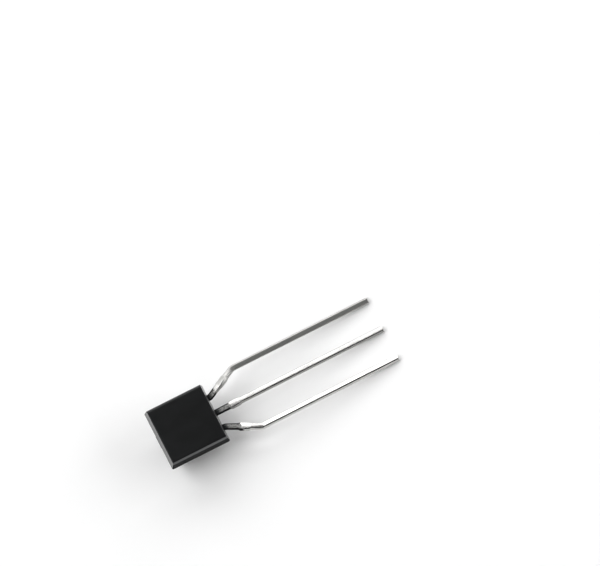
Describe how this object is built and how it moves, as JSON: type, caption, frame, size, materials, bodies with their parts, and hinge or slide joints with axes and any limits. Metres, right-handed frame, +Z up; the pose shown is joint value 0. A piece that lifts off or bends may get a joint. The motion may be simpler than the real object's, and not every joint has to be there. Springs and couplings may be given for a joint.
{
  "type": "to-92 transistor",
  "caption": "Small through-hole transistor: black moulded half-round body with a flat marking face, and tinned flat leads spread in a row for soldering to a board.",
  "frame": {"origin": "centre of the part's box on the surface it lies on", "axes": "+X towards the lead tips, +Z up; it lies flat face up on the foot of its round back and on its lead tips, so the leads slope down by about 8 degrees"},
  "size_m": [0.019, 0.0054, 0.0041],
  "materials": {
    "epoxy": "fine matte moulding compound",
    "tinned_strip": "bright tin plate on rolled strip",
    "silicon": "polished",
    "bond_gold": "bright drawn wire"
  },
  "bodies": {
    "root": {"molded_body": "epoxy", "collector_lead": "tinned_strip", "base_lead": "tinned_strip", "emitter_lead": "tinned_strip", "silicon_die": "silicon", "base_wire": "bond_gold", "emitter_wire": "bond_gold"}
  },
  "joints": []
}
